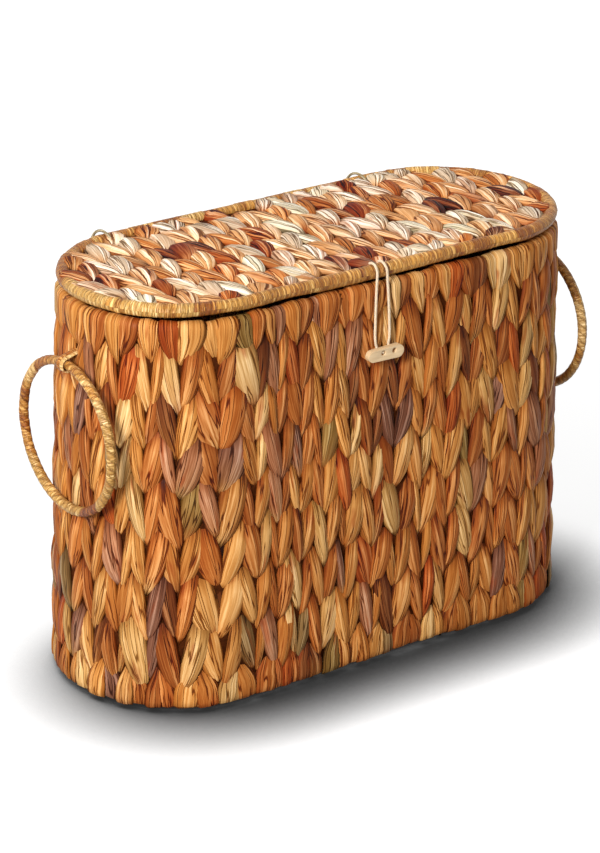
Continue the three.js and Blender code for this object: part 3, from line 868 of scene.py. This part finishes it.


# Thin closed slab behind a flat weave, 1 mm inside its edge, dark as painted shade where it shows
# through the gaps
def makeFlatHeart(name, weave):
    low, high = weave["heart"]
    radius = weave["radius"] - 1
    bm = bmesh.new()
    circle = bmesh.ops.create_circle(bm, segments=96, cap_ends=True, radius=1)["verts"]
    for vert in circle:
        end = weave["straight"] if vert.co.x > 0 else -weave["straight"]
        vert.co = Vector((end + vert.co.x * radius, vert.co.y * radius, low)) * mm
    raised = bmesh.ops.extrude_face_region(bm, geom=bm.faces[:])["geom"]
    bmesh.ops.translate(bm, verts=vertsOf(raised), vec=(0, 0, (high - low) * mm))
    finishPiece(bm, name, heart, weave["body"], smooth=False)


makeFlatWeave(lidWeave, lidColours, lidLeaf)
makeFlatWeave(baseWeave, wallColours, wallLeaf)
makeFlatHeart("lid_heart", lidWeave)
makeFlatHeart("base_heart", baseWeave)
print("lid and base woven")

# Wrapped tubes: the chance that a strip starts a new colour and swell, and how far they spread
wrapSpread = {"jitter": 0.14, "turn": 0.35, "swell": (-0.3, 0.25), "uneven": 0.06}


def wrapColumns(count, palette):
    strips = []
    colour = pickColour(palette, wrapSpread["jitter"])
    swell = 0
    for _ in range(count):
        if chance.random() < wrapSpread["turn"]:
            colour = pickColour(palette, wrapSpread["jitter"])
            swell = between(*wrapSpread["swell"])
        strips.append((colour, swell + wander(wrapSpread["uneven"])))
    return strips


# Wraps strips round a route. Each strip has a column for each of the steps of its radius.
def wrapTube(bm, layers, wrap, palette, routeAt, length, thinAt):
    strips, steps = wrapColumns(wrap["strips"], palette), wrap["steps"]

    def sizeAt(share, column):
        strip, place = divmod(int(round(column * len(strips) * len(steps))), len(steps))
        colour, swell = strips[strip % len(strips)]
        tube = (wrap["tube"] + wrap["swell"] * swell + steps[place] - thinAt(share)) * mm
        # painted shade: seamShade darkens the first column of each strip, its lowest step, where it
        # meets the next strip
        return tube, tube, colour, wrap["seamShade"] if place == 0 else 1, strip

    rolledTube(bm, layers, routeAt, length, len(strips) * len(steps), 12, sizeAt, True,
               shear=wrap["slant"] / len(strips))


lidRoll = {
    "straight": 119, "radius": 81, "height": 304.5, "gapRise": 0.9, "gapThin": 0.5,
    "tube": 5.2, "strips": 250, "steps": (-0.06, 0.02, 0.03, 0.0), "swell": 1, "slant": 1,
    "seamShade": 0.92,
}


def makeLidRoll():
    bm, layers = strandMesh()
    straight, radius = lidRoll["straight"] * mm, lidRoll["radius"] * mm

    def routeAt(share):
        along = share * rimPerimeter
        x, y = stadiumPoint(along, straight, radius, 0)
        outX, outY = stadiumPoint(along, straight, radius, mm)
        side = Vector((outX - x, outY - y, 0)).normalized()
        lifted = lidRoll["height"] + lidRoll["gapRise"] * gapOpen(along)
        return Vector((x, y, lifted * mm)), side, Vector((0, 0, 1))

    wrapTube(bm, layers, lidRoll, wrapColours, routeAt, rimPerimeter,
             lambda share: lidRoll["gapThin"] * gapOpen(share * rimPerimeter))
    finishPiece(bm, "lid_roll", wrapStrip, "lid", ["lid_rim_binding"])


ringHandle = {
    "width": 115, "height": 109.5, "out": 213.43, "top": 254.3,
    "tube": 3.6, "strips": 58, "steps": (-0.14, 0.03, 0.08, 0.03), "swell": 0.7, "slant": 3,
    "seamShade": 0.75,
}


def makeRingHandle(name, side):
    bm, layers = strandMesh()
    halfWidth, halfHeight = ringHandle["width"] / 2, ringHandle["height"] / 2
    middle = Vector((side * ringHandle["out"], 0, ringHandle["top"] - halfHeight)) * mm

    def routeAt(share):
        y, z = math.cos(2 * math.pi * share), math.sin(2 * math.pi * share)
        outward = Vector((0, y * halfHeight, z * halfWidth)).normalized()
        return middle + Vector((0, y * halfWidth, z * halfHeight)) * mm, outward, Vector((1, 0, 0))

    wrapTube(bm, layers, ringHandle, ringColours, routeAt, math.pi * (halfWidth + halfHeight) * mm,
             lambda share: 0)
    finishPiece(bm, f"ring_{name}", wrapStrip, f"{name}_handle",
                [f"handle_ring_{name}"])


makeLidRoll()
makeRingHandle("left", -1)
makeRingHandle("right", 1)
print("roll and rings wrapped")

# Straps that carry the ring handles: flat loops round the first row wire and the ring's top
handleTie = {
    "bore": 4.3, "thick": 1.6, "half": 2.1, "wireIn": 4.2, "wireHeight": 257.5,
    "straps": [(-2.2, 0.0), (2.1, 0.25)],      # mm along the wall, and mm thicker
}


def makeHandleTie(name, side):
    bm, layers = strandMesh()
    height = handleTie["wireHeight"] * mm
    start = Vector((wallPoint(rimPerimeter / 4, height, -handleTie["wireIn"] * mm).x, 0, height))
    end = Vector((ringHandle["out"] * mm, 0, ringHandle["top"] * mm))
    span = (end - start).length
    slope = math.atan2(end.z - start.z, end.x - start.x)
    radius = (handleTie["bore"] + handleTie["thick"] / 2) * mm
    arc = math.pi * radius
    total = 2 * span + 2 * arc

    def looped(share, offset):
        run = (share % 1) * total
        if run < span:
            local, out = Vector((run, 0, -radius)), Vector((0, 0, -1))
        elif run < span + arc:
            angle = (run - span) / radius - math.pi / 2
            out = Vector((math.cos(angle), 0, math.sin(angle)))
            local = Vector((span, 0, 0)) + out * radius
        elif run < 2 * span + arc:
            local, out = Vector((2 * span + arc - run, 0, radius)), Vector((0, 0, 1))
        else:
            angle = (run - 2 * span - arc) / radius + math.pi / 2
            out = Vector((math.cos(angle), 0, math.sin(angle)))
            local = out * radius
        turn = Matrix.Rotation(-slope, 3, "Y")
        point, normal = start + turn @ local, turn @ out
        point.y += offset * mm
        if side < 0:
            point.x, normal.x = -point.x, -normal.x
        return point, Vector((0, 1, 0)), normal

    for offset, proud in handleTie["straps"]:
        colour = pickColour(ringColours)

        def sizeAt(share, column):
            return (handleTie["half"] * mm, (handleTie["thick"] / 2 + proud / 2) * mm, colour, 1,
                    firstNumber["strap"] + offset)

        rolledTube(bm, layers, lambda share: looped(share, offset), total, 48, 10, sizeAt, True)
    finishPiece(bm, f"strap_{name}", wrapStrip, "basket", [f"handle_tie_{name}"])


makeHandleTie("left", -1)
makeHandleTie("right", 1)

# Cord rings that hinge the lid at the back
hingeCordRing = {
    "places": {"left": -128, "right": 103}, "back": 82, "height": 293.5,
    "ring": 17.4, "cord": 1.1, "girth": 6.9, "turns": 22, "plies": 3,
    "groove": 0.78, "swell": 0.22,             # shares of the cord's radius
}


def makeHingeRing(name, x):
    bm, layers = strandMesh()
    middle = Vector((x, hingeCordRing["back"], hingeCordRing["height"])) * mm
    ring, turns = hingeCordRing["ring"] * mm, hingeCordRing["turns"]
    across = Vector((1, 0, 0))
    made = bmesh.ops.create_grid(bm, x_segments=turns * 12, y_segments=12, size=1)["verts"]
    for vert in made:
        share, turn = (vert.co.x + 1) / 2, (vert.co.y + 1) / 2
        around, spin = 2 * math.pi * share, 2 * math.pi * turns * share
        outward = Vector((0, math.cos(around), math.sin(around)))
        side = outward * math.cos(spin) + across * math.sin(spin)
        up = across * math.cos(spin) - outward * math.sin(spin)
        angle = 2 * math.pi * turn
        ply = hingeCordRing["swell"] * abs(math.cos(hingeCordRing["plies"] * angle / 2))
        cord = hingeCordRing["cord"] * mm * (hingeCordRing["groove"] + ply)
        vert[layers["place"]] = (share * 2 * math.pi * ring, turn * hingeCordRing["girth"] * mm, 0)
        vert.co = (middle + outward * ring + side * cord * math.cos(angle)
                   + up * cord * math.sin(angle))
    bmesh.ops.remove_doubles(bm, verts=made, dist=1e-6)
    finishPiece(bm, f"hinge_cord_{name}", tanYarn, "basket", [f"hinge_tie_{name}"])


for hingeName, hingeX in hingeCordRing["places"].items():
    makeHingeRing(hingeName, hingeX)
print("straps and hinge cords made")

# Toggle: a flat bone peg, wider at +X, with two drilled holes, and the cord's tail in one
togglePeg = {
    "centre": (-5.8, -95.317, 247), "length": 31.2, "wide": 9.8, "narrow": 8.4, "thick": 4.6,
    "edge": 1.5, "holes": (-8.4, 1.3), "hole": 1.9, "holeEdge": 0.3, "holeRise": 1.2,
    "sides": 44, "holeSides": 20, "sharp": 1.2,        # radians between the faces of a sharp edge
}


def makeToggle():
    bm = bmesh.new()
    outline = bmesh.ops.create_circle(bm, segments=togglePeg["sides"], radius=1)["verts"]
    reach = togglePeg["length"] / 2
    for vert in outline:
        half = (togglePeg["wide"] if vert.co.x > 0 else togglePeg["narrow"]) / 2
        middle = (reach - half) * (1 if vert.co.x > 0 else -1)
        vert.co = Vector((middle + vert.co.x * half, vert.co.y * half, 0)) * mm
    for x in togglePeg["holes"]:
        place = Vector((x - togglePeg["centre"][0], togglePeg["holeRise"], 0))
        shift = Matrix.Translation(place * mm)
        bmesh.ops.create_circle(bm, segments=togglePeg["holeSides"], radius=togglePeg["hole"] * mm,
                                matrix=shift)
    bmesh.ops.triangle_fill(bm, use_beauty=True, use_dissolve=False, edges=bm.edges[:])
    raised = bmesh.ops.extrude_face_region(bm, geom=bm.faces[:])["geom"]
    bmesh.ops.translate(bm, verts=vertsOf(raised), vec=(0, 0, togglePeg["thick"] * mm))
    bmesh.ops.recalc_face_normals(bm, faces=bm.faces)
    sharp = [edge for edge in bm.edges if edge.calc_face_angle(0) > togglePeg["sharp"]]
    holeReach = (togglePeg["hole"] + 0.2) * mm

    def isHole(edge):
        middle = (edge.verts[0].co + edge.verts[1].co) / 2
        up = middle.y - togglePeg["holeRise"] * mm
        return any(math.hypot(middle.x - (x - togglePeg["centre"][0]) * mm, up) < holeReach
                   for x in togglePeg["holes"])

    for group, width, segments in (
            ([edge for edge in sharp if isHole(edge)], togglePeg["holeEdge"], 2),
            ([edge for edge in sharp if not isHole(edge)], togglePeg["edge"], 5)):
        bmesh.ops.bevel(bm, geom=group, offset=width * mm, offset_type="OFFSET",
                        segments=segments, profile=0.5, affect="EDGES", material=-1,
                        clamp_overlap=True)
    upright = Matrix.Rotation(math.pi / 2, 3, "X")
    bmesh.ops.translate(bm, verts=bm.verts, vec=Vector((0, 0, -togglePeg["thick"] / 2 * mm)))
    bmesh.ops.rotate(bm, verts=bm.verts, cent=(0, 0, 0), matrix=upright)
    bmesh.ops.translate(bm, verts=bm.verts, vec=Vector(togglePeg["centre"]) * mm)
    finishPiece(bm, "toggle_peg", bone, "toggle", ["toggle"])


# The cord's tail runs through the left hole and ends just inside its front
stitchTail = {"drift": 0.3, "sunk": 0.2, "steps": 6}


def makeStitch():
    bm, layers = strandMesh()
    left = togglePeg["holes"][0]
    _, y, z = togglePeg["centre"]
    z += togglePeg["holeRise"]
    start = Vector((left, y + togglePeg["thick"] / 2, z))
    end = Vector((left + stitchTail["drift"], y - togglePeg["thick"] / 2 + stitchTail["sunk"],
                  z + stitchTail["drift"]))
    steps = stitchTail["steps"]
    points = [start.lerp(end, i / steps) * mm for i in range(steps + 1)]
    cordTube(bm, layers, points, closureCord["radius"])
    finishPiece(bm, "peg_stitch", creamYarn, "toggle", ["toggle_stitch"])


makeToggle()
makeStitch()

# The wire frame keeps its own solids and gets its finish
for nodeName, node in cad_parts.items():
    if "wire" in nodeName or "rod" in nodeName or "post" in nodeName:
        node.data.materials.clear()
        node.data.materials.append(wire)
print("toggle and frame finished")

# Floor, background and lights
studio = {
    "floorSize": 40, "floorBounce": 0.4, "worldStrength": 0.42, "worldTint": (1, 0.99, 0.97),
    # painted contact shadow: an ambient-occlusion band darkens the floor's colour round the foot,
    # leaned so that it lies mostly in front of the basket
    "contactReach": 0.085,          # metres from the foot that its dark band reaches
    "contactRange": (0.32, 0.94),   # how open the floor is at the band's darkest and at its end
    "contactDark": 0.03, "contactFade": 1.8, "contactSamples": 24,
    "contactLean": (-0.043, 0.514, 0.857),  # the band lies away from this direction
    "floorTone": 0.28, "floorGlow": 0.8,    # what the camera sees: a share lit, the rest white
    "whiteRange": (0.35, 1.2),      # metres from the middle, where the white takes over
    "lights": [
        # name, place, aim, size in metres, watts
        ("overhead", (-0.25, 0.3, 2.0), (0, 0, 0.1), 1.0, 10),
        ("frontLeft", (-1.9, -1.1, 1.3), (0, 0, 0.15), 0.6, 62),
    ],
}


# 1 for rays from the camera, and for those that it sees by reflection or through something
def seenWhite(tree):
    path = addNode(tree, "ShaderNodeLightPath").outputs
    seen = path["Is Camera Ray"]
    for ray in ("Is Glossy Ray", "Is Transmission Ray"):
        seen = addNode(tree, "ShaderNodeMath", {"operation": "MAXIMUM"}, {
            0: seen, 1: path[ray]}).outputs[0]
    return seen


def makeFloor():
    bm = bmesh.new()
    bmesh.ops.create_grid(bm, x_segments=1, y_segments=1, size=studio["floorSize"] / 2)
    mesh = bpy.data.meshes.new("floor")
    bm.to_mesh(mesh)
    bm.free()
    material, tree = newMaterial("matt_white_floor")
    bounced = addNode(tree, "ShaderNodeBsdfDiffuse", None, {
        "Color": (*(studio["floorBounce"],) * 3, 1)})
    # painted shadow: the ambient-occlusion band darkens both the lit share and the white glow of the
    # floor near the foot
    lean = addNode(tree, "ShaderNodeCombineXYZ", None, dict(enumerate(studio["contactLean"])))
    near = addNode(tree, "ShaderNodeAmbientOcclusion", {"samples": studio["contactSamples"]}, {
        "Distance": studio["contactReach"], "Normal": lean.outputs[0]}).outputs["AO"]
    place = addNode(tree, "ShaderNodeTexCoord").outputs["Object"]
    away = addNode(tree, "ShaderNodeVectorMath", {"operation": "LENGTH"}, {0: place})
    values = {"near": near, "away": away.outputs["Value"]}
    addChain(tree, values, (
        ("openness", straightRange, ("near", *studio["contactRange"])),
        ("faded", power, ("openness", studio["contactFade"])),
        ("tone", straightRange, ("faded", 0.0, 1.0, studio["contactDark"], 1.0)),
        ("glow", straightRange, ("away", *studio["whiteRange"], studio["floorGlow"], 1.0)),
        ("litTone", multiply, ("tone", studio["floorTone"])),
        ("whiteTone", multiply, ("tone", "glow"))))
    lit = addNode(tree, "ShaderNodeBsdfDiffuse", None, {"Color": values["litTone"]})
    white = addNode(tree, "ShaderNodeEmission", None, {"Strength": values["whiteTone"]})
    seen = addNode(tree, "ShaderNodeAddShader", None, {0: lit.outputs[0], 1: white.outputs[0]})
    finishMaterial(tree, addNode(tree, "ShaderNodeMixShader", None, {
        0: seenWhite(tree), 1: bounced.outputs[0], 2: seen.outputs[0]}))
    mesh.materials.append(material)
    floor = bpy.data.objects.new("floor", mesh)
    bpy.context.scene.collection.objects.link(floor)


def makeWorld():
    world = bpy.data.worlds.new("studio")
    bpy.context.scene.world = world
    world.use_nodes = True
    tree = world.node_tree
    tree.nodes.clear()
    soft = addNode(tree, "ShaderNodeBackground", None, {
        "Color": (*studio["worldTint"], 1), "Strength": studio["worldStrength"]})
    white = addNode(tree, "ShaderNodeBackground", None, {"Color": (1, 1, 1, 1), "Strength": 1.0})
    mixed = addNode(tree, "ShaderNodeMixShader", None, {
        0: seenWhite(tree), 1: soft.outputs[0], 2: white.outputs[0]})
    addNode(tree, "ShaderNodeOutputWorld", None, {"Surface": mixed.outputs[0]})


def makeLights():
    for name, place, aim, size, watts in studio["lights"]:
        data = bpy.data.lights.new(name, "AREA")
        data.size = size
        data.energy = watts
        lamp = bpy.data.objects.new(name, data)
        bpy.context.scene.collection.objects.link(lamp)
        lamp.location = place
        lamp.rotation_euler = (Vector(aim) - Vector(place)).to_track_quat("-Z", "Y").to_euler()


makeFloor()
makeWorld()
makeLights()
bpy.context.scene.view_settings.view_transform = "Standard"
print("studio lit")
